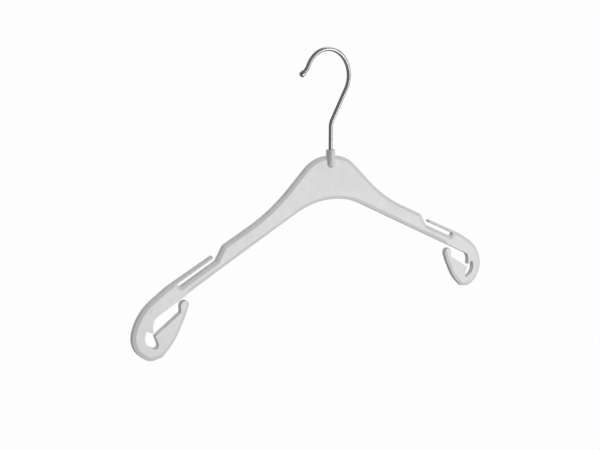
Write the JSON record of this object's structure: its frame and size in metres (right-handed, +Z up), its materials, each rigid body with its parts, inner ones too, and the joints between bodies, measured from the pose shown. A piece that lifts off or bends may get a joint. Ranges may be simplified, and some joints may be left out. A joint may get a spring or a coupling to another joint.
{
  "type": "clothes hanger",
  "caption": "Contoured plastic garment hanger with strap fingers, skirt-loop hooks and a swivelling steel wire hook for a rail.",
  "frame": {"origin": "the rail seat: the inner top of the wire hook's arc, where it rests on a rail", "axes": "+X along the arms, with the hook open towards -X at rest, -Y the hanger's front, +Z up and parallel to the hook's turning axis"},
  "size_m": [0.4092, 0.0104, 0.2532],
  "materials": {
    "body_plastic": "satin moulded",
    "hook_steel": "bright polished"
  },
  "bodies": {
    "hook": {"swivel_hook": "hook_steel"},
    "hanger": {"hanger_body": "body_plastic"}
  },
  "joints": [
    {"name": "hook_swivel", "type": "hinge", "parent": "hook", "child": "hanger", "pos_m": [0.0036, 0, -0.0884], "axis": [0, 0, 1], "continuous": true}
  ]
}
